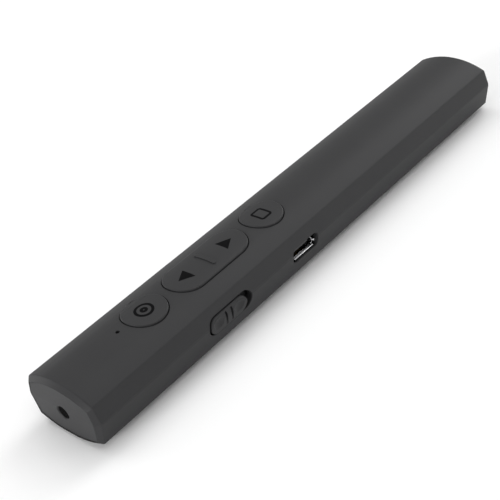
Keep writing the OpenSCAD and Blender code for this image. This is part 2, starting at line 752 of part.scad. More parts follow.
module usb_port_contacts() color(gold_colour) for (i = [-2:2])
    across(
        [at(port_x) + i * 0.65, port_h + 0.25 - tongue_t / 2 - 0.05],
        port_mouth + 1, port_mouth + shell_l - shell_t - 1
    ) square([0.35, 0.1], center = true);

module laser_barrel() color("#b08d45") difference() {
    bar_x([0, beam_h], barrel_d, at(barrel_x), at(barrel_x + barrel_l));
    bar_x([0, beam_h], beam_d, at(barrel_x) - past, at(barrel_x + barrel_l) + past);
    bar_x([0, beam_h], lens_d, at(lens_x), at(barrel_x + barrel_l) + past);
    bar_x([0, beam_h], barrel_bore, at(lens_x + lens_t), at(barrel_x + barrel_l) + past);
}
// A plano-convex lens: a disc cut by a ball
module laser_lens() color("#dfe8ee") intersection() {
    bar_x([0, beam_h], lens_d, at(lens_x), at(lens_x) + 2 * lens_t);
    translate([at(lens_x + lens_t) - arch_r(lens_d, lens_t / 2), 0, beam_h])
        sphere(r = arch_r(lens_d, lens_t / 2));
}
module laser_diode() color(gold_colour) {
    bar_x([0, beam_h], barrel_bore, at(barrel_x + barrel_l - diode_l), at(barrel_x + barrel_l - diode_l + 1));
    bar_x([0, beam_h], barrel_bore - 1.2, at(barrel_x + barrel_l - diode_l), at(barrel_x + barrel_l));
}

// A bent wire in a plane along X and Z: a ring of eight points at each point of its route, with level ends
function ring(route, y, i, r) = let (
        last = len(route) - 1,
        run_on = route[min(i + 1, last)] - route[max(i - 1, 0)],
        ahead = i == 0 || i == last ? [run_on.x, 0] : run_on,
        aside = [-ahead.y, ahead.x] / norm(ahead)
    ) [for (k = [0:7]) [
        route[i].x + r * cos(45 * k) * aside.x, y + r * sin(45 * k), route[i].y + r * cos(45 * k) * aside.y
    ]];
module wire(route, y, d) {
    count = len(route);
    triangles = [
        for (i = [0:count - 2]) for (k = [0:7]) let (a = 8 * i + k, b = 8 * i + (k + 1) % 8)
            each [[a, b, b + 8], [a, b + 8, a + 8]]
    ];
    first = [for (k = [7:-1:0]) k];
    last = [for (k = [0:7]) 8 * (count - 1) + k];
    polyhedron([for (i = [0:count - 1]) each ring(route, y, i, d / 2)], concat(triangles, [first, last]));
}
// A smooth route from a to b that leaves and arrives level
function level_route(a, b, steps = 8) = [
    for (i = [0:steps]) let (t = i / steps) [a.x + (b.x - a.x) * t, a.y + (b.y - a.y) * t * t * (3 - 2 * t)]
];
module laser_leads() for (side = [-1, 1]) color(side < 0 ? "#b02020" : "#202020")
    wire(
        level_route([at(barrel_x + barrel_l), beam_h], [at(board_x + 2), board_h - lead_d / 2]),
        side * 0.9, lead_d
    );
module battery_leads() for (side = [0, 1]) color(side < 1 ? "#b02020" : "#202020")
    wire(
        level_route(
            [at(battery_x), battery_h + battery_t / 2], [at(board_x + board_l - 3), board_h - lead_d / 2]
        ),
        battery_w / 2 - 2.8 + 1.4 * side, lead_d
    );

module main_board() color("#1f5a38") difference() {
    union() {
        block([at(board_x + tongue_l / 2), 0], [tongue_l, tongue_w], board_h, board_top);
        block([at(board_x + (tongue_l + board_l) / 2), 0], [board_l - tongue_l, board_w], board_h, board_top);
    }
    for (p = board_screw_places) rod(p, screw_hole_d, board_h - past, board_top + past);
}
chip_t = 0.9;
radio_chip_w = 5; // square, beside its crystal
memory_chip_l = 4.9;
memory_chip_w = 3.9;
charge_chip_w = 3; // square, beside the port
crystal_l = 3.2;
crystal_w = 2.5;
crystal_t = 0.8;
antenna_l = 5;
antenna_w = 2;
antenna_t = 1.1;
radio_gap = 1.9; // between the crystal and the radio chip
memory_back = 3; // the memory chip's middle, behind the laser button's
memory_aside = 1.5; // and beside the middle of the board
module board_chips() color(black_colour) {
    radio_x = rocker_x + crystal_l / 2 + radio_gap + radio_chip_w / 2;
    block([at(radio_x), board_w / 2 - radio_chip_w - 0.6], [radio_chip_w, radio_chip_w],
        board_h - chip_t, board_h);
    block([at(laser_button_x + memory_back), memory_aside], [memory_chip_l, memory_chip_w],
        board_h - chip_t, board_h);
    block([at(port_x) - 1, board_w / 2 - charge_chip_w - 0.8], [charge_chip_w, charge_chip_w],
        board_h - chip_t, board_h);
}
module crystal_can() color(metal_colour)
    block([at(rocker_x), board_w / 2 - crystal_w - 0.3], [crystal_l, crystal_w],
        board_h - crystal_t, board_h);
module chip_antenna() color("#d8d4c8")
    block([at(board_x + board_l) - antenna_w / 2 - 0.6, board_w / 2 - antenna_l / 2 - 0.5],
        [antenna_w, antenna_l], board_top, board_top + antenna_t);
module status_led() color("#f0ead0") block([at(pinhole_x), 0], [1.6, 0.8], board_top, board_top + led_t);
module light_guide() color("#e8eef0") {
    rod([at(pinhole_x), 0], pinhole_d + 1.2, light_seat - guide_head, light_seat);
    rod([at(pinhole_x), 0], pinhole_d - run, light_seat - guide_head, body_h - guide_drop);
}

battery_top = battery_h + battery_t;
module battery() color("#8f9498") {
    middle_h = battery_h + battery_t / 2;
    along([0, middle_h], at(battery_x + terrace_l), at(battery_x + battery_l))
        polygon(rounded(battery_w, battery_t, 0.8));
    along([0, middle_h], at(battery_x), at(battery_x + terrace_l) + past)
        square([battery_w - 1, terrace_t], center = true);
}
module battery_foam() color(black_colour)
    block([at(battery_x + battery_l / 2), 0], [battery_l - 4, battery_w - 3],
        battery_top, battery_top + foam_t);

// A pan-head screw that points up, with a cross in its head
module screw(place, seat, length) difference() {
    union() {
        rod(place, screw_head_d, seat - screw_head_t, seat);
        rod(place, screw_d, seat - screw_head_t, seat + length);
    }
    for (turn = [0, 90]) translate([place.x, place.y, seat - screw_head_t]) rotate([0, 0, turn])
        cube([screw_head_d * 0.6, 0.35, 1], center = true);
}
module case_screws() color(metal_colour) for (p = case_screw_places) screw(p, screw_seat_h, case_screw_l);
module board_screws() color(metal_colour) for (p = board_screw_places) screw(p, board_h, board_screw_l);

module receiver_cover() color(black_colour) difference() {
    along([0, head_h], tail - head_l, tail) polygon(rounded(head_w, head_t, head_corner));
    // The plug's root, and a groove for a fingernail
    along([0, head_h], tail - head_l - past, plug_root) square([plug_w, plug_t], center = true);
    block([tail - 1, 0], [0.7, 5], head_h + head_t / 2 - 0.5, head_h + head_t / 2 + past);
}
module receiver_plug_shell() color(metal_colour) difference() {
    along([0, head_h], tail - head_l - plug_l, plug_root) square([plug_w, plug_t], center = true);
    along([0, head_h], tail - head_l - plug_l - past, plug_root + past)
        square([plug_w - 2 * plug_wall, plug_t - 2 * plug_wall], center = true);
    for (side = [-1, 1])
        block([tail - head_l - plug_l + 5.5, side * plug_w / 4.8], [2.5, 2.2], head_h, head_h + plug_t);
}
tongue_plug_t = 1.8;
plug_floor = head_h - plug_t / 2 + plug_wall;
plug_root = tail - head_l + 2; // the plug reaches this far into the cover
module receiver_tongue() color(black_colour)
    along([0, plug_floor + tongue_plug_t / 2], tail - head_l - plug_l + 0.3, plug_root)
        square([plug_w - 2 * plug_wall, tongue_plug_t], center = true);
// The two outer contacts reach further forward than the two between them
module receiver_contacts() color(gold_colour) for (i = [-1.5:1.5]) {
    contact_l = abs(i) > 1 ? 7.4 : 6.4;
    block([tail - head_l - plug_l + 8.2 - contact_l / 2, i * 2.3], [contact_l, 1.1],
        plug_floor + tongue_plug_t, plug_floor + tongue_plug_t + 0.15);
}

top_cover();
bottom_cover();
nose_plate();
tail_bay();
laser_button();
laser_switch_plunger();
screen_button();
screen_switch_plunger();
page_rocker();
forward_switch_plunger();
back_switch_plunger();
push_switch_bodies();
power_knob();
slide_switch_lever();
slide_switch_housing();
usb_port_shell();
usb_port_tongue();
usb_port_contacts();
laser_barrel();
laser_lens();
laser_diode();
laser_leads();
main_board();
board_chips();
crystal_can();
chip_antenna();
status_led();
light_guide();
battery();
battery_foam();
battery_leads();
case_screws();
board_screws();
receiver_cover();
receiver_plug_shell();
receiver_tongue();
receiver_contacts();
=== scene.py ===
import json
import math

import bmesh
import bpy
from mathutils import Matrix, Vector

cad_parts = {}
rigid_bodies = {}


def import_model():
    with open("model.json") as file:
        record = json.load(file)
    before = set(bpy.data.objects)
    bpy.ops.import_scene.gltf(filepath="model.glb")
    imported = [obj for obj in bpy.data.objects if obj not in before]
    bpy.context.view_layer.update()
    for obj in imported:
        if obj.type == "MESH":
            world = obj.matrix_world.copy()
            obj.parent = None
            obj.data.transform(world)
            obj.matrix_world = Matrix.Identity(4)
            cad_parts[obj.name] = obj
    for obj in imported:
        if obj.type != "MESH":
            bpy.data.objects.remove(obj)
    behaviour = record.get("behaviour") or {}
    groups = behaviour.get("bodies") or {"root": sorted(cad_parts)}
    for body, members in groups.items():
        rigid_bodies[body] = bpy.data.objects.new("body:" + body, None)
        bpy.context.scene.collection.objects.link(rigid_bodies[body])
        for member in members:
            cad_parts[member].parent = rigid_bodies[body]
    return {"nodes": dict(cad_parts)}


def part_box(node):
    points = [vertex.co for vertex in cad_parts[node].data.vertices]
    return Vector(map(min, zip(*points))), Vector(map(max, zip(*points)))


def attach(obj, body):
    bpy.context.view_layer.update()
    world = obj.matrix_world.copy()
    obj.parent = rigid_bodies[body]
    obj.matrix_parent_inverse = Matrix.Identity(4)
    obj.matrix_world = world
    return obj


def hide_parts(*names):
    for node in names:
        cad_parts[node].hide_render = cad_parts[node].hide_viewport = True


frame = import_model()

bl_info = {
    "name": "Presentation Clicker",
    "version": (1, 0, 0),
    "blender": (4, 5, 0),
    "location": "View3D > Sidebar > Clicker",
    "description": "Dresses the frame of a slim presentation clicker and lights it",
    "category": "Object",
}

MM = 0.001


# Places read from the frame

def middle(node):
    """The middle of a node's box, in metres."""
    low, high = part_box(node)
    return (low + high) / 2


BODY_LOW, BODY_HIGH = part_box("top_cover")
RIDGE_Z = BODY_LOW.z + 0.4 * MM  # the posts of the top cover reach 0.4 mm below the ridge
CROWN_Z = BODY_HIGH.z
HALF_WIDTH = BODY_HIGH.y
HALF_LENGTH = BODY_HIGH.x


class ClickerSizes(bpy.types.PropertyGroup):
    """Sizes of the finish, which the frame leaves open."""

    edge_radius: bpy.props.FloatProperty(
        name="Edge radius", description="Rounding of the covers' outer edges",
        default=0.2 * MM, min=0.01 * MM, max=0.3 * MM, unit="LENGTH", precision=5)
    metal_radius: bpy.props.FloatProperty(
        name="Metal edge radius", description="Rounding of the edges of stamped and headed metal",
        default=0.06 * MM, min=0.01 * MM, max=0.1 * MM, unit="LENGTH", precision=5)
    button_radius: bpy.props.FloatProperty(
        name="Button rim", description="Rounding of the rims of the buttons",
        default=0.22 * MM, min=0.05 * MM, max=0.28 * MM, unit="LENGTH", precision=5)
    knob_radius: bpy.props.FloatProperty(
        name="Knob rim", description="Rounding of the rim and the grips of the power knob",
        default=0.1 * MM, min=0.01 * MM, max=0.15 * MM, unit="LENGTH", precision=5)
    receiver_radius: bpy.props.FloatProperty(
        name="Receiver edge", description="Rounding of the edges of the receiver's cover",
        default=0.15 * MM, min=0.01 * MM, max=0.2 * MM, unit="LENGTH", precision=5)
    crease_width: bpy.props.FloatProperty(
        name="Crease width", description="Width of the arched top between its creases",
        default=18.75 * MM, unit="LENGTH", precision=5)
    crease_height: bpy.props.FloatProperty(
        name="Crease height", description="Height of the creases above the table",
        default=11.2 * MM, unit="LENGTH", precision=5)
    ink_height: bpy.props.FloatProperty(
        name="Ink height", description="How far the printed signs stand above the plastic",
        default=0.012 * MM, unit="LENGTH", precision=6)
    ring_radius: bpy.props.FloatProperty(
        name="Ring radius", description="Outer radius of the ring on the laser button",
        default=2.16 * MM, unit="LENGTH", precision=5)
    ring_line: bpy.props.FloatProperty(
        name="Ring line", description="Width of the ring's line",
        default=0.62 * MM, unit="LENGTH", precision=5)
    dot_radius: bpy.props.FloatProperty(
        name="Dot radius", description="Radius of the dot on the laser button",
        default=0.86 * MM, unit="LENGTH", precision=5)
    dot_line: bpy.props.FloatProperty(
        name="Dot line", description="Width of the dot's ink round the pinprick in its middle",
        default=0.68 * MM, unit="LENGTH", precision=5)
    screen_length: bpy.props.FloatProperty(
        name="Screen sign length", description="Size of the rounded square along the body",
        default=3.4 * MM, unit="LENGTH", precision=5)
    screen_width: bpy.props.FloatProperty(
        name="Screen sign width", description="Size of the rounded square across the body",
        default=4.1 * MM, unit="LENGTH", precision=5)
    screen_corner: bpy.props.FloatProperty(
        name="Screen sign corner", description="Corner radius of the rounded square",
        default=0.75 * MM, unit="LENGTH", precision=5)
    screen_line: bpy.props.FloatProperty(
        name="Screen sign line", description="Width of the rounded square's line",
        default=0.54 * MM, unit="LENGTH", precision=5)
    triangle_base: bpy.props.FloatProperty(
        name="Triangle place", description="Distance of a triangle's base from the rocker's middle",
        default=5.15 * MM, unit="LENGTH", precision=5)
    triangle_length: bpy.props.FloatProperty(
        name="Triangle length", description="Length of a triangle from its base to its point",
        default=3.18 * MM, unit="LENGTH", precision=5)
    triangle_width: bpy.props.FloatProperty(
        name="Triangle width", description="Width of a triangle's base",
        default=3.8 * MM, unit="LENGTH", precision=5)


class ClickerColours(bpy.types.PropertyGroup):
    """Colours of the finish as sRGB hex values."""

    housing: bpy.props.StringProperty(
        name="Housing", description="Charcoal ABS of the covers", default="#2f2f30")
    buttons: bpy.props.StringProperty(
        name="Buttons", description="Charcoal ABS of the buttons", default="#2e2e2f")
    ink: bpy.props.StringProperty(
        name="Ink", description="Black ink of the signs", default="#050506")
    receiver: bpy.props.StringProperty(
        name="Receiver", description="Black ABS of the receiver's cover", default="#1d1d1f")


def sizes():
    return bpy.context.scene.clicker_sizes


def colours():
    return bpy.context.scene.clicker_colours


# Materials

def linear(hex_value):
    """An sRGB hex value such as "#2e2e30" as a linear colour."""
    parts = [int(hex_value[i:i + 2], 16) / 255 for i in (1, 3, 5)]
    return [p / 12.92 if p <= 0.04045 else ((p + 0.055) / 1.055) ** 2.4 for p in parts] + [1.0]


def shifted(hex_value, amount):
    """A hex colour made lighter or darker by an amount from -1 to 1."""
    parts = [int(hex_value[i:i + 2], 16) for i in (1, 3, 5)]
    return "#" + "".join("%02x" % max(0, min(255, round(p * (1 + amount)))) for p in parts)


def add_node(tree, kind, settings=None, values=None, links=None):
    """Adds a node, sets its properties and its sockets' values, and links its inputs."""
    node = tree.nodes.new(kind)
    for key, value in (settings or {}).items():
        setattr(node, key, value)
    for key, value in (values or {}).items():
        node.inputs[key].default_value = value
    for key, socket in (links or {}).items():
        tree.links.new(socket, node.inputs[key])
    return node


def new_material(name):
    """An empty node material with its tree, the link to its object coordinates and its shader."""
    material = bpy.data.materials.new(name)
    material.use_nodes = True
    tree = material.node_tree
    tree.nodes.clear()
    place = {"Vector": add_node(tree, "ShaderNodeTexCoord").outputs["Object"]}
    shader = add_node(tree, "ShaderNodeBsdfPrincipled")
    output = add_node(tree, "ShaderNodeOutputMaterial", links={"Surface": shader.outputs["BSDF"]})
    output.is_active_output = True
    return material, tree, place, shader


def lumps(size, detail=2.0, rough=0.5):
    """A noise texture's values for lumps that measure about size, in metres."""
    return {"Scale": 1 / size, "Detail": detail, "Roughness": rough}


def between(tree, pattern, low, high):
    """A colour between two hex values, or a number between two numbers, led by a pattern."""
    if isinstance(low, str):
        ramp = add_node(tree, "ShaderNodeValToRGB", links={"Fac": pattern})
        for element, end in zip(ramp.color_ramp.elements, (low, high)):
            element.color = linear(end)
        return ramp.outputs["Color"]
    scaled = add_node(
        tree, "ShaderNodeMapRange", values={"To Min": low, "To Max": high}, links={"Value": pattern})
    return scaled.outputs["Result"]


def finish_shader(tree, shader, colour, rough, relief, own):
    """Leads a shader from patterns, and sets on the shader itself what is the same all over.

    rough is a pattern with its two ends, colour is the same or a finished colour, and relief is a pattern
    with its depth, in metres, and its strength.
    """
    base = between(tree, *colour) if isinstance(colour, tuple) else colour
    tree.links.new(base, shader.inputs["Base Color"])
    tree.links.new(between(tree, *rough), shader.inputs["Roughness"])
    pattern, depth, strength = relief
    raised = add_node(
        tree, "ShaderNodeBump", values={"Distance": depth, "Strength": strength}, links={"Height": pattern})
    tree.links.new(raised.outputs["Normal"], shader.inputs["Normal"])
    for key, value in own.items():
        shader.inputs[key].default_value = value


def spark_eroded_abs(name, colour, rough):
    """Moulded ABS from a spark-eroded tool: its fine grain spreads every highlight into a satin sheen."""
    material, tree, place, shader = new_material(name)
    # Erosion pits of about 0.1 to 0.2 mm, and a slow change of tone where the melt flowed
    grain = add_node(tree, "ShaderNodeTexNoise", values=lumps(0.16 * MM, 3.0, 0.6), links=place).outputs["Fac"]
    cloud = add_node(tree, "ShaderNodeTexNoise", values=lumps(9 * MM), links=place).outputs["Fac"]
    # The specular level is matched to the object: the pits break up its sheen
    finish_shader(
        tree, shader, (cloud, shifted(colour, -0.05), shifted(colour, 0.05)),
        (grain, rough - 0.06, rough + 0.06), (grain, 0.008 * MM, 0.6),
        {"IOR": 1.53, "Specular IOR Level": 0.19})
    return material


def pad_printed_ink(name, colour):
    """Pad-printed ink: a thin black film, matter than the plastic below it and a little uneven."""
    material, tree, place, shader = new_material(name)
    film = add_node(tree, "ShaderNodeTexNoise", values=lumps(0.3 * MM), links=place).outputs["Fac"]
    finish_shader(
        tree, shader, (film, colour, shifted(colour, 0.6)), (film, 0.62, 0.74), (film, 0.002 * MM, 0.5),
        {"IOR": 1.4, "Specular IOR Level": 0.08})
    return material


def polished_black_resin(name, colour):
    """Glass-filled resin moulded in a smooth tool: black, with a faint flow pattern in its gloss."""
    material, tree, place, shader = new_material(name)
    flow = add_node(tree, "ShaderNodeTexNoise", values=lumps(1.2 * MM, 4.0), links=place).outputs["Fac"]
    finish_shader(
        tree, shader, (flow, colour, shifted(colour, 0.25)), (flow, 0.34, 0.48), (flow, 0.004 * MM, 0.5),
        {"IOR": 1.55})
    return material


def nickel_plated_steel(name, colour):
    """Drawn steel strip under bright nickel: mirror-like, with fine draw lines along the body."""
    material, tree, place, shader = new_material(name)
    drawn = add_node(tree, "ShaderNodeMapping", values={"Scale": (0.08, 1.0, 1.0)}, links=place)
    lines = add_node(  # draw lines 0.05 to 0.1 mm apart
        tree, "ShaderNodeTexNoise", values=lumps(0.08 * MM), links={"Vector": drawn.outputs["Vector"]}
    ).outputs["Fac"]
    finish_shader(
        tree, shader, (lines, shifted(colour, -0.06), colour), (lines, 0.112, 0.208), (lines, 0.001 * MM, 0.4),
        {"Metallic": 1.0})
    return material


def zinc_plated_steel(name, colour):
    """Headed steel under zinc: grey, with a faint frost that dulls the highlights."""
    material, tree, place, shader = new_material(name)
    frost = add_node(tree, "ShaderNodeTexNoise", values=lumps(0.25 * MM, 4.0, 0.65), links=place).outputs["Fac"]
    finish_shader(
        tree, shader, (frost, shifted(colour, -0.18), colour), (frost, 0.28, 0.45), (frost, 0.003 * MM, 0.5),
        {"Metallic": 1.0})
    return material


def gold_flash(name, colour):
    """Stamped bronze with a gold flash: warm and bright, with the fine scores of mating plugs."""
    material, tree, place, shader = new_material(name)
    drawn = add_node(tree, "ShaderNodeMapping", values={"Scale": (0.1, 1.0, 1.0)}, links=place)
    scores = add_node(
        tree, "ShaderNodeTexNoise", values=lumps(0.1 * MM, 3.0), links={"Vector": drawn.outputs["Vector"]}
    ).outputs["Fac"]
    finish_shader(
        tree, shader, (scores, shifted(colour, -0.12), colour), (scores, 0.16, 0.3), (scores, 0.001 * MM, 0.4),
        {"Metallic": 1.0})
    return material


def turned_brass(name, colour):
    """Brass turned on a lathe: fine rings round its axis, which draw the highlight into streaks."""
    material, tree, place, shader = new_material(name)
    rings = add_node(
        tree, "ShaderNodeTexWave", settings={"bands_direction": "X"},
        values={"Scale": 1 / (20 * 0.25 * MM), "Distortion": 0.4, "Detail": 2.0},  # feed marks 0.25 mm apart
        links=place).outputs["Fac"]
    finish_shader(
        tree, shader, (rings, shifted(colour, -0.1), colour), (rings, 0.22, 0.36), (rings, 0.003 * MM, 0.4),
        {"Metallic": 1.0})
    return material


def moulded_acrylic(name, tint):
    """Moulded acrylic, clear or smoked: polished, with hardly a ripple."""
    material, tree, place, shader = new_material(name)
    ripple = add_node(tree, "ShaderNodeTexNoise", values=lumps(2 * MM, 1.0), links=place).outputs["Fac"]
    finish_shader(
        tree, shader, (ripple, shifted(tint, -0.03), tint), (ripple, 0.02, 0.06), (ripple, 0.002 * MM, 0.2),
        {"IOR": 1.49, "Transmission Weight": 0.9})
    return material


def solder_resist(name, colour):
    """Glass-epoxy board under green resist: glossy, with the weave of the glass just showing."""
    material, tree, place, shader = new_material(name)
    weave = add_node(
        tree, "ShaderNodeTexBrick", settings={"offset": 0.5},
        values={
            "Scale": 1.0, "Mortar Size": 0.06 * MM, "Brick Width": 0.8 * MM, "Row Height": 0.4 * MM,
            "Color1": (1, 1, 1, 1), "Color2": (0.8, 0.8, 0.8, 1), "Mortar": (0.3, 0.3, 0.3, 1)},
        links=place).outputs["Color"]
    patches = add_node(tree, "ShaderNodeTexNoise", values=lumps(3 * MM), links=place).outputs["Fac"]
    finish_shader(
        tree, shader, (weave, shifted(colour, -0.15), shifted(colour, 0.1)), (patches, 0.24, 0.34),
        (weave, 0.004 * MM, 0.5), {"IOR": 1.52})
    return material


def fired_ceramic(name, colour):
    """Fired alumina: an off-white body with the finest sintered grain."""
    material, tree, place, shader = new_material(name)
    grain = add_node(tree, "ShaderNodeTexNoise", values=lumps(0.12 * MM, 4.0, 0.6), links=place).outputs["Fac"]
    finish_shader(
        tree, shader, (grain, shifted(colour, -0.08), colour), (grain, 0.4, 0.55), (grain, 0.003 * MM, 0.5),
        {"IOR": 1.6})
    return material


def laminated_foil(name, colour):
    """Aluminium-laminate pouch: a dull silver film with soft wrinkles from its vacuum seal."""
    material, tree, place, shader = new_material(name)
    wrinkles = add_node(tree, "ShaderNodeTexNoise", values=lumps(5 * MM, 3.0, 0.55), links=place).outputs["Fac"]
    finish_shader(
        tree, shader, (wrinkles, shifted(colour, -0.1), colour), (wrinkles, 0.3, 0.45),
        (wrinkles, 0.15 * MM, 0.5), {"Metallic": 0.85})
    return material


def closed_cell_foam(name, colour):
    """Die-cut closed-cell foam: matt black with open half cells on its cut faces."""
    material, tree, place, shader = new_material(name)
    cells = add_node(  # cells of about 0.35 mm
        tree, "ShaderNodeTexVoronoi", values={"Scale": 1 / (0.35 * MM)}, links=place).outputs["Distance"]
    finish_shader(
        tree, shader, (cells, shifted(colour, -0.3), shifted(colour, 0.2)), (cells, 0.8, 0.95),
        (cells, 0.08 * MM, 0.8), {})
    return material


def silicone_lead(name, colour, other, border):
    """Extruded silicone in two colours, one to each side of a border in Y: smooth, with slight dust."""
    material, tree, place, shader = new_material(name)
    dust = add_node(tree, "ShaderNodeTexNoise", values=lumps(0.6 * MM, 3.0), links=place).outputs["Fac"]
    side = add_node(tree, "ShaderNodeSeparateXYZ", links=place).outputs["Y"]
    beyond = add_node(
        tree, "ShaderNodeMath", settings={"operation": "GREATER_THAN"}, values={1: border}, links={0: side})
    pair = add_node(
        tree, "ShaderNodeMix", settings={"data_type": "RGBA"},
        links={
            "Factor": beyond.outputs["Value"],
            6: between(tree, dust, shifted(colour, -0.12), colour),
            7: between(tree, dust, shifted(other, -0.12), other)})
    finish_shader(tree, shader, pair.outputs[2], (dust, 0.4, 0.55), (dust, 0.004 * MM, 0.3), {})
    return material


MATERIAL_MAKERS = {
    "housing": lambda: spark_eroded_abs("charcoal_abs_spark_eroded", colours().housing, 0.5),
    "buttons": lambda: spark_eroded_abs("charcoal_abs_buttons", colours().buttons, 0.47),
    "receiver": lambda: spark_eroded_abs("black_abs_spark_eroded", colours().receiver, 0.48),
    "ink": lambda: pad_printed_ink("black_pad_print", colours().ink),
    "resin": lambda: polished_black_resin("black_resin_moulded", "#141416"),
    "nickel": lambda: nickel_plated_steel("nickel_plated_steel", "#e4e4e6"),
    "zinc": lambda: zinc_plated_steel("zinc_plated_steel", "#a4a6aa"),
    "gold": lambda: gold_flash("gold_flash_bronze", "#e2b85a"),
    "brass": lambda: turned_brass("turned_brass", "#c9a25a"),
    "acrylic": lambda: moulded_acrylic("clear_acrylic_moulded", "#eef3f6"),
    "smoked": lambda: moulded_acrylic("smoked_acrylic_moulded", "#1b1b1e"),
    "board": lambda: solder_resist("green_solder_resist", "#1f6a3c"),
    "ceramic": lambda: fired_ceramic("fired_alumina", "#dedacb"),
    "foil": lambda: laminated_foil("aluminium_laminate_foil", "#a9adb1"),
    "foam": lambda: closed_cell_foam("closed_cell_foam", "#1c1c1c"),
    "laser_lead": lambda: silicone_lead("silicone_lead_pair_laser", "#8c1616", "#161616", 0.0),
    "battery_lead": lambda: silicone_lead("silicone_lead_pair_battery", "#8c1616", "#161616", 4.7 * MM),
}


def finish_with(piece, key):
    """Gives a piece one material, which is made at its first use."""
    for made in bpy.data.materials:
        if made.get("key") == key:
            break
    else:
        made = MATERIAL_MAKERS[key]()
        made["key"] = key
    piece.data.materials.clear()
    piece.data.materials.append(made)


# Modelling helpers

MERGE_DISTANCE = 0.001 * MM
FLAT_ANGLE = 0.4  # faces that turn less than this, in degrees, are one flat face


def only(piece):
    """Leaves one object selected and active."""
    if bpy.context.object and bpy.context.object.mode != "OBJECT":
        bpy.ops.object.mode_set(mode="OBJECT")
    bpy.ops.object.select_all(action="DESELECT")
    piece.select_set(True)
    bpy.context.view_layer.objects.active = piece


def edit(piece):
    """Opens a piece in edit mode and returns its bmesh."""
    only(piece)
    bpy.ops.object.mode_set(mode="EDIT")
    return bmesh.from_edit_mesh(piece.data)


def close(piece):
    """Leaves edit mode."""
    bmesh.update_edit_mesh(piece.data)
    bpy.ops.object.mode_set(mode="OBJECT")


def apply_modifier(piece, kind, name, **settings):
    """Adds a modifier with its settings and applies it."""
    only(piece)
    modifier = piece.modifiers.new(name, kind)
    for key, value in settings.items():
        setattr(modifier, key, value)
    bpy.ops.object.modifier_apply(modifier=modifier.name)


def dressed_copy(node, name):
    """A copy of a node's mesh, merged and with its flat faces whole, ready to be shaped."""
    only(frame["nodes"][node])
    bpy.ops.object.duplicate()
    piece = bpy.context.object
    piece.name = name
    piece.data.name = name
    bpy.ops.object.parent_clear(type="CLEAR_KEEP_TRANSFORM")
    edit(piece)
    bpy.ops.mesh.select_all(action="SELECT")
    bpy.ops.mesh.remove_doubles(threshold=MERGE_DISTANCE)
    bpy.ops.mesh.dissolve_limited(angle_limit=math.radians(FLAT_ANGLE))
    close(piece)
    return piece


def round_edges(piece, radius, weigh, segments=3):
    """Rounds a piece's edges: weigh(edge) gives each edge's share of the radius, from 0 to 1."""
    mesh = edit(piece)
    layers = mesh.edges.layers.float
    weights = layers.get("bevel_weight_edge") or layers.new("bevel_weight_edge")
    for edge in mesh.edges:
        edge[weights] = weigh(edge) if len(edge.link_faces) == 2 else 0.0
    close(piece)
    apply_modifier(
        piece, "BEVEL", "Rounded edges", limit_method="WEIGHT", width=radius, segments=segments,
        use_clamp_overlap=False, miter_outer="MITER_SHARP", harden_normals=False)


def smooth(piece, angle=35):
    """Shades a piece smooth up to an angle, with the flat faces kept flat."""
    only(piece)
    bpy.ops.object.shade_smooth_by_angle(angle=math.radians(angle))
    apply_modifier(piece, "WEIGHTED_NORMAL", "Flat faces lead", keep_sharp=True, weight=90)


def turn(edge):
    """The angle between an edge's two faces, in degrees."""
    return math.degrees(edge.calc_face_angle(0.0))


def mid(edge):
    return (edge.verts[0].co + edge.verts[1].co) / 2


def crown_radius():
    """The radius of the arched top, from its width and rise."""
    rise = CROWN_Z - sizes().crease_height
    return ((sizes().crease_width / 2) ** 2 + rise ** 2) / (2 * rise)


def depth_below_crown(point):
    """How far a point lies below the arched top."""
    axis = CROWN_Z - crown_radius()
    return crown_radius() - math.hypot(point.y, point.z - axis)


# Pieces

SAME_PLACE = 0.01 * MM  # places closer than this are one
END_BEVEL = 1.0 * MM  # the bevel round both ends, which the frame gives
END_ZONE = END_BEVEL + 0.05 * MM
COVER_TURN = 24  # least turn, in degrees, of a cover's edge that is rounded
TIP_SHARE = 0.2  # the thin lips round the end plates fold if they are rounded more
CROWN_SKIN = 0.03 * MM  # an edge this near the arched top lies on it
CREASE_BAND = 0.1 * MM  # an edge this near the crease takes the whole radius
WELL_SHARE = 0.6  # the rims of the wells stay crisper than the outer edges
SIDE_BAND = 0.9 * MM  # an edge this near the body's full width lies on its side
LOWEST_EDGE = 0.5 * MM
RIM_SHARE = 0.35
CAP_SEGMENTS = 4
BAR_SHARE = 0.15
BAR_HEIGHT = 0.45 * MM  # what stands higher above the arched top is the rocker's bar
CAP_HEIGHT = 0.2 * MM  # and what stands higher than this is the rim of a button's face


def dress(node, name, body, finish, radius, share, segments=3):
    """Puts a copy of a node in its place, with rounded edges, smooth shading and its real material."""
    piece = dressed_copy(node, name)
    round_edges(piece, radius, share, segments)
    smooth(piece)
    finish_with(piece, finish)
    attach(piece, body)
    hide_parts(node)
    return piece


def square_to_body(edge):
    """Whether an edge lies in a plane across the body."""
    return abs(edge.verts[0].co.x - edge.verts[1].co.x) < SAME_PLACE


def outer_share(edge):
    """Which edges of the covers are rounded: the wells, the cut-outs and the end bevels, on the outside."""
    place = mid(edge)
    if turn(edge) < COVER_TURN or not edge.is_convex or abs(place.z - RIDGE_Z) < SAME_PLACE:
        return 0.0
    from_end = HALF_LENGTH - abs(place.x)
    if from_end < END_ZONE:
        if not square_to_body(edge):
            return 0.0
        return 1.0 if from_end > END_BEVEL / 2 else TIP_SHARE
    if depth_below_crown(place) < CROWN_SKIN:
        return 1.0 if abs(place.y) > sizes().crease_width / 2 - CREASE_BAND else WELL_SHARE
    return 1.0 if abs(place.y) > HALF_WIDTH - SIDE_BAND and place.z > LOWEST_EDGE else 0.0


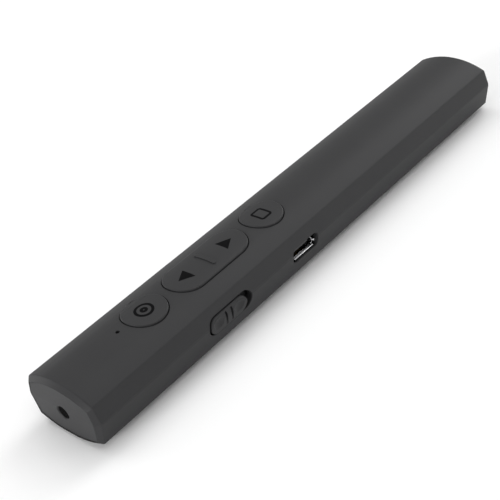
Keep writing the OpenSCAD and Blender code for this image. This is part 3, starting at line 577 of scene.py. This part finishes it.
class CLICKER_OT_covers(bpy.types.Operator):
    """Rounds the moulded edges of the two covers and gives them their ABS"""

    bl_idname = "clicker.covers"
    bl_label = "Covers"

    def execute(self, context):
        for node in ("top_cover", "bottom_cover"):
            dress(node, "moulded_" + node, "housing", "housing", sizes().edge_radius, outer_share)
        return {"FINISHED"}


def rim_share(edge):
    """Which edges of an end plate are rounded: its outline and its openings, on the outer face."""
    place = mid(edge)
    if turn(edge) < 30 or abs(place.x) < HALF_LENGTH - END_BEVEL / 2 or not edge.is_convex:
        return 0.0
    outward = math.copysign(1, place.x)
    return RIM_SHARE if any(face.normal.x * outward > 0.99 for face in edge.link_faces) else 0.0


class CLICKER_OT_end_plates(bpy.types.Operator):
    """Rounds the edges of the nose plate and of the tail plate with the receiver's bay"""

    bl_idname = "clicker.end_plates"
    bl_label = "End plates"

    def execute(self, context):
        for node in ("nose_plate", "tail_bay"):
            dress(node, "moulded_" + node, "housing", "housing", sizes().edge_radius, rim_share)
        return {"FINISHED"}


def cap_share(edge):
    """Which edges of a button are rounded: the rim of its face, and less the bar that stands on it."""
    if turn(edge) < 40 or not edge.is_convex:
        return 0.0
    above = -depth_below_crown(mid(edge))
    if above > BAR_HEIGHT:
        return BAR_SHARE
    return 1.0 if above > CAP_HEIGHT else 0.0


PRINT_SHIFT = Vector((-0.17, -0.24, 0)) * MM  # the pads print a little off the caps' middles
PRINT_START = CROWN_Z + 2 * MM  # the signs are made above the caps and laid down from there
FILM = 0.04 * MM  # the ink goes this deep, most of it into the plastic
RING_CORNERS = 64


def printed(piece, name, cap, body):
    """Lays a flat sign on a cap's arched face and makes it a thin film of ink."""
    piece.name = name
    piece.data.name = name
    only(piece)
    bpy.ops.object.transform_apply(location=True, rotation=True, scale=True)
    apply_modifier(
        piece, "SHRINKWRAP", "Laid on the cap", target=cap, wrap_method="PROJECT", use_project_z=True,
        use_positive_direction=False, use_negative_direction=True, offset=sizes().ink_height)
    apply_modifier(piece, "SOLIDIFY", "Film", thickness=FILM, offset=-1.0)
    smooth(piece, 50)
    finish_with(piece, "ink")
    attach(piece, body)


def print_place(node):
    """The place above a cap from which its signs are laid down."""
    place = middle(node)
    place.z = 0
    return place + PRINT_SHIFT + Vector((0, 0, PRINT_START))


def take_out_middle(line):
    """Insets the open sign by the width of its line and takes out what lies inside."""
    bpy.ops.mesh.select_all(action="SELECT")
    bpy.ops.mesh.inset(thickness=line)
    bpy.ops.mesh.delete(type="FACE")


class CLICKER_OT_round_buttons(bpy.types.Operator):
    """Rounds the rims of the two round buttons and prints a ring with a dot, and a rounded square"""

    bl_idname = "clicker.round_buttons"
    bl_label = "Round buttons"

    def execute(self, context):
        caps = {}
        for node, body in (("laser_button", "laser_key"), ("screen_button", "screen_key")):
            caps[node] = dress(
                node, node + "_cap", body, "buttons", sizes().button_radius, cap_share, CAP_SEGMENTS)
        for name, radius, line in (
                ("ring", sizes().ring_radius, sizes().ring_line),
                ("dot", sizes().dot_radius, sizes().dot_line)):
            bpy.ops.mesh.primitive_circle_add(
                vertices=RING_CORNERS, radius=radius, fill_type="NGON", location=print_place("laser_button"))
            sign = bpy.context.object
            edit(sign)
            take_out_middle(line)
            close(sign)
            printed(sign, "laser_sign_" + name, caps["laser_button"], "laser_key")
        bpy.ops.mesh.primitive_plane_add(size=1, location=print_place("screen_button"))
        square = bpy.context.object
        square.scale = (sizes().screen_length, sizes().screen_width, 1)
        bpy.ops.object.transform_apply(location=False, rotation=False, scale=True)
        edit(square)
        bpy.ops.mesh.select_all(action="SELECT")
        bpy.ops.mesh.bevel(offset=sizes().screen_corner, segments=6, affect="VERTICES")
        take_out_middle(sizes().screen_line)
        bpy.ops.mesh.select_all(action="SELECT")
        bpy.ops.mesh.subdivide(number_cuts=2)
        close(square)
        printed(square, "screen_sign_square", caps["screen_button"], "screen_key")
        return {"FINISHED"}


class CLICKER_OT_page_rocker(bpy.types.Operator):
    """Rounds the rim of the page rocker and its bar, and prints the two triangles"""

    bl_idname = "clicker.page_rocker"
    bl_label = "Page rocker"

    def execute(self, context):
        piece = dress(
            "page_rocker", "page_rocker_cap", "page_key", "buttons", sizes().button_radius,
            cap_share, CAP_SEGMENTS)
        half = sizes().triangle_width / 2
        for name, way in (("back", -1), ("forward", 1)):
            place = print_place("page_rocker") + Vector((way * sizes().triangle_base, 0, 0))
            bpy.ops.mesh.primitive_circle_add(vertices=3, radius=1, fill_type="NGON", location=place)
            sign = bpy.context.object
            mesh = edit(sign)
            corners = [(0, -half), (0, half), (way * sizes().triangle_length, 0)]
            for vertex, corner in zip(mesh.verts, corners):
                vertex.co = (corner[0], corner[1], 0)
            bpy.ops.mesh.select_all(action="SELECT")
            bpy.ops.mesh.subdivide(number_cuts=5)
            bpy.ops.mesh.normals_make_consistent(inside=False)
            if mesh.faces[0].normal.z < 0:
                bpy.ops.mesh.flip_normals()
            close(sign)
            printed(sign, "page_sign_" + name, piece, "page_key")
        return {"FINISHED"}


def knob_share(edge):
    """Which edges of the knob are rounded: the rim and the grips on its outer face."""
    place = mid(edge)
    return 1.0 if turn(edge) > 35 and edge.is_convex and place.y < -HALF_WIDTH + 0.3 * MM else 0.0


class CLICKER_OT_power_knob(bpy.types.Operator):
    """Rounds the rim and the grips of the sliding power knob"""

    bl_idname = "clicker.power_knob"
    bl_label = "Power knob"

    def execute(self, context):
        dress(
            "power_knob", "power_knob_cap", "power_slider", "buttons", sizes().knob_radius,
            knob_share)
        return {"FINISHED"}


def any_corner(edge):
    """Every outward corner of a piece that is rounded all over."""
    return 1.0 if turn(edge) > 30 and edge.is_convex else 0.0


class CLICKER_OT_metalwork(bpy.types.Operator):
    """Rounds the stamped shells of the port and the plug, and the screws' heads"""

    bl_idname = "clicker.metalwork"
    bl_label = "Metalwork"

    def execute(self, context):
        for node, name, body, finish, slot in (
                ("usb_port_shell", "flared_port_shell", "housing", "nickel", "plated_steel"),
                ("receiver_plug_shell", "folded_plug_shell", "receiver", "nickel", "plated_steel"),
                ("case_screws", "pan_head_case_screws", "housing", "zinc", "screw_steel")):
            dress(node, name, body, finish, sizes().metal_radius, any_corner)
        return {"FINISHED"}


class CLICKER_OT_receiver(bpy.types.Operator):
    """Rounds the receiver's cover, which closes the tail"""

    bl_idname = "clicker.receiver"
    bl_label = "Receiver"

    def execute(self, context):
        dress(
            "receiver_cover", "moulded_receiver_cover", "receiver", "receiver",
            sizes().receiver_radius, any_corner)
        return {"FINISHED"}


NODE_FINISHES = {
    "nickel": ("push_switch_bodies", "slide_switch_housing", "crystal_can"),
    "gold": ("usb_port_contacts", "receiver_contacts"),
    "resin": (
        "usb_port_tongue", "laser_switch_plunger", "screen_switch_plunger", "forward_switch_plunger",
        "back_switch_plunger", "slide_switch_lever", "board_chips", "receiver_tongue"),
    "brass": ("laser_barrel", "laser_diode"),
    "acrylic": ("laser_lens",),
    "smoked": ("light_guide",),
    "board": ("main_board",),
    "ceramic": ("chip_antenna", "status_led"),
    "foil": ("battery",),
    "foam": ("battery_foam",),
    "laser_lead": ("laser_leads",),
    "battery_lead": ("battery_leads",),
    "zinc": ("board_screws",),
}


class CLICKER_OT_inner_pieces(bpy.types.Operator):
    """Gives the pieces inside their real materials"""

    bl_idname = "clicker.inner_pieces"
    bl_label = "Inner pieces"

    def execute(self, context):
        for key, nodes in NODE_FINISHES.items():
            for node in nodes:
                finish_with(frame["nodes"][node], key)
        return {"FINISHED"}


# Stage

# The camera that fits the photograph: its place, and the turn from the object's axes to the view's, whose
# direction is the axis and whose length is the angle
CAMERA_PLACE = Vector((-144.617, -141.950, 138.876)) * MM
CAMERA_TURN = Vector((1.93551099, -1.01450931, 0.295166737))
CAMERA_LENS = 76.55
CAMERA_CLIP = (0.01, 20)
SENSOR = 36.0


def camera_matrix():
    """The camera's world matrix, from the turn of the object's axes into the view."""
    turned = Matrix.Rotation(CAMERA_TURN.length, 3, CAMERA_TURN.normalized())
    right, down, forward = turned[0], turned[1], turned[2]
    matrix = Matrix.Identity(4)
    for row in range(3):
        matrix[row][0] = right[row]
        matrix[row][1] = -down[row]
        matrix[row][2] = -forward[row]
        matrix[row][3] = CAMERA_PLACE[row]
    return matrix


# Each distant softbox: its name, the azimuth and the elevation it shines from, and its strength
SOFTBOXES = (
    ("nose_softbox", 180, 12, 1.89),
    ("tail_low_softbox", 0, 12, 0.72),
    ("tail_softbox", 5, 42, 0.49),
    ("tail_high_softbox", 13, 65, 0.29),
    ("far_softbox", 60, 42, 0.1),
    ("far_high_softbox", 90, 65, 0.38),
    ("far_low_softbox", 110, 12, 0.47),
    ("near_high_softbox", 270, 65, 0.18),
    ("crease_softbox", 311, 12, 0.41),
)
SOFTBOX_WIDTH = 25  # apparent width of each, in degrees
AIR_LIGHT = 0.5  # even light from all round
FLOOR_SIZE = 40  # wide enough for its far edge to lie low in every view
FLOOR_GAP = 0.02 * MM  # keeps the floor from touching the faces that stand on it


class CLICKER_OT_stage(bpy.types.Operator):
    """Sets up the pale floor, the soft lights and the camera"""

    bl_idname = "clicker.stage"
    bl_label = "Stage"

    def execute(self, context):
        bpy.ops.object.select_all(action="DESELECT")
        bpy.ops.mesh.primitive_plane_add(size=FLOOR_SIZE, location=(0, 0, -FLOOR_GAP))
        floor = bpy.context.object
        floor.name = "studio_floor"
        paper, tree, place, shader = new_material("matt_white_paper")
        fibres = add_node(tree, "ShaderNodeTexNoise", values=lumps(40 * MM), links=place).outputs["Fac"]
        tree.links.new(between(tree, fibres, "#fcfcfc", "#fefefe"), shader.inputs["Base Color"])
        shader.inputs["Roughness"].default_value = 0.9
        shader.inputs["Specular IOR Level"].default_value = 0.1
        floor.data.materials.append(paper)
        for name, azimuth, elevation, strength in SOFTBOXES:
            turned = (0, math.radians(90 - elevation), math.radians(azimuth))
            bpy.ops.object.light_add(type="SUN", location=(0, 0, 0.5), rotation=turned)
            light = bpy.context.object
            light.name = name
            light.data.angle = math.radians(SOFTBOX_WIDTH)
            light.data.energy = strength
        world = bpy.data.worlds.new("studio_air")
        world.use_nodes = True
        air = world.node_tree.nodes["Background"]
        air.inputs["Color"].default_value = (1, 1, 1, 1)
        air.inputs["Strength"].default_value = AIR_LIGHT
        context.scene.world = world
        bpy.ops.object.camera_add()
        camera = bpy.context.object
        camera.name = "photograph_view"
        camera.matrix_world = camera_matrix()
        camera.data.sensor_width = SENSOR
        camera.data.lens = CAMERA_LENS
        camera.data.clip_start, camera.data.clip_end = CAMERA_CLIP
        context.scene.camera = camera
        context.scene.view_settings.view_transform = "Standard"
        context.scene.view_settings.look = "None"
        return {"FINISHED"}


OPERATORS = (
    CLICKER_OT_covers, CLICKER_OT_end_plates, CLICKER_OT_round_buttons, CLICKER_OT_page_rocker,
    CLICKER_OT_power_knob, CLICKER_OT_metalwork, CLICKER_OT_receiver, CLICKER_OT_inner_pieces,
    CLICKER_OT_stage,
)


class CLICKER_PT_panel(bpy.types.Panel):
    """Lists the steps that dress the clicker"""

    bl_idname = "CLICKER_PT_panel"
    bl_label = "Presentation Clicker"
    bl_space_type = "VIEW_3D"
    bl_region_type = "UI"
    bl_category = "Clicker"

    def draw(self, context):
        for group in (context.scene.clicker_sizes, context.scene.clicker_colours):
            for key in group.bl_rna.properties.keys():
                if key not in ("rna_type", "name"):
                    self.layout.prop(group, key)
        for operator in OPERATORS:
            self.layout.operator(operator.bl_idname)


CLASSES = (ClickerSizes, ClickerColours, *OPERATORS, CLICKER_PT_panel)


def register():
    for item in CLASSES:
        bpy.utils.register_class(item)
    bpy.types.Scene.clicker_sizes = bpy.props.PointerProperty(type=ClickerSizes)
    bpy.types.Scene.clicker_colours = bpy.props.PointerProperty(type=ClickerColours)


def unregister():
    del bpy.types.Scene.clicker_colours
    del bpy.types.Scene.clicker_sizes
    for item in reversed(CLASSES):
        bpy.utils.unregister_class(item)


def main():
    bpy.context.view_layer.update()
    register()
    for operator in OPERATORS:
        group, name = operator.bl_idname.split(".")
        getattr(getattr(bpy.ops, group), name)()


if __name__ == "__main__":
    main()
